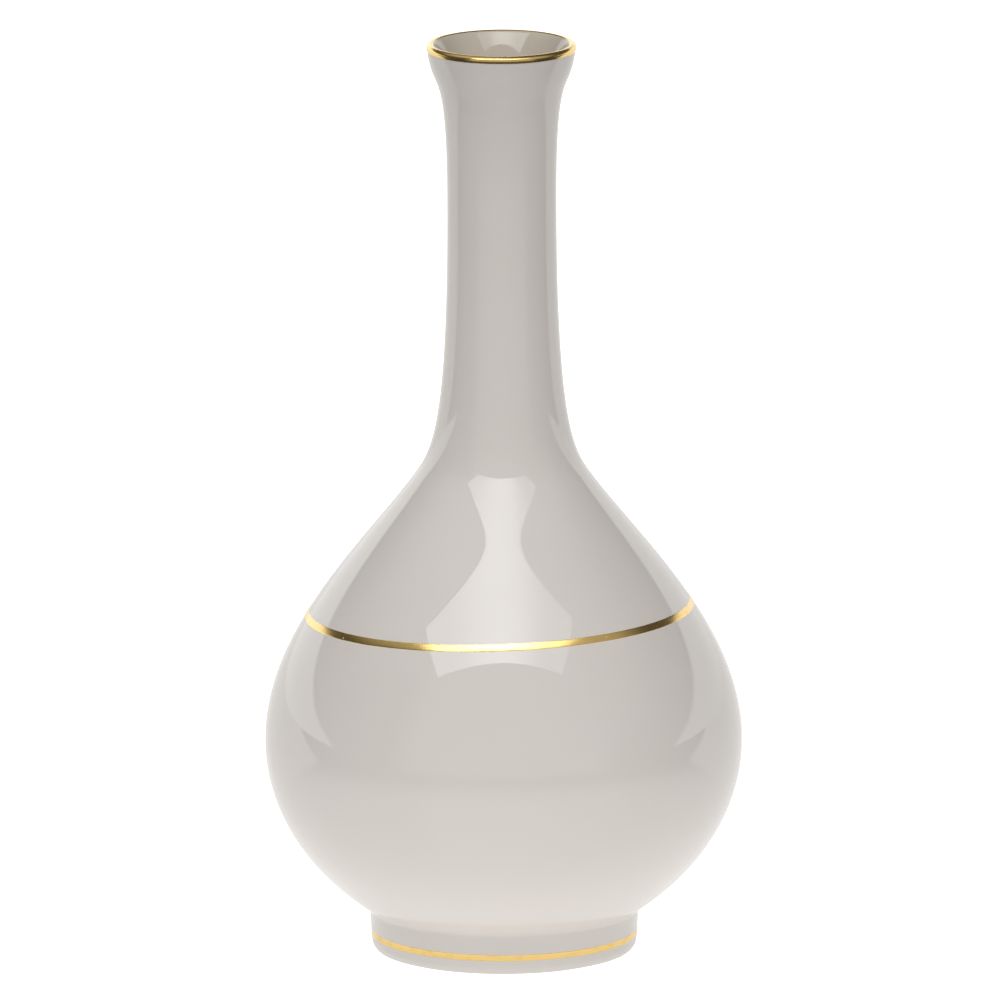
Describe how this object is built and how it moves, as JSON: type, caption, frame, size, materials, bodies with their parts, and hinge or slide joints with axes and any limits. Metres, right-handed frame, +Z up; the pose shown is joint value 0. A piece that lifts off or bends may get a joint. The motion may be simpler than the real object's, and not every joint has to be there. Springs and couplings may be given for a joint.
{
  "type": "bottle vase",
  "caption": "Long-necked porcelain bottle vase with a round belly, flared mouth, turned foot ring, and gilded lip, shoulder line and foot line.",
  "frame": {"origin": "centre of the foot's resting ring, on the surface that the vase stands on", "axes": "+Z up along the vase's axis; -Y faces the front; the shoulder line is highest on +X"},
  "size_m": [0.0828, 0.0828, 0.1601],
  "materials": {
    "bisque": "fired hard-paste porcelain, bare and matte on the resting ring",
    "glaze": "clear feldspar glaze over warm white porcelain, high gloss",
    "gold": "brushed-on fired gold, burnished, with fine hand-turned streaks"
  },
  "bodies": {
    "root": {"foot_ring": "bisque", "belly_bowl": "bisque", "shoulder_dome": "bisque", "neck_tube": "bisque", "mouth_flare": "bisque", "outer_glaze": "glaze", "inner_glaze": "glaze", "foot_well_glaze": "glaze", "rim_gilding": "gold", "shoulder_gold_line": "gold", "foot_gold_line": "gold"}
  },
  "joints": []
}
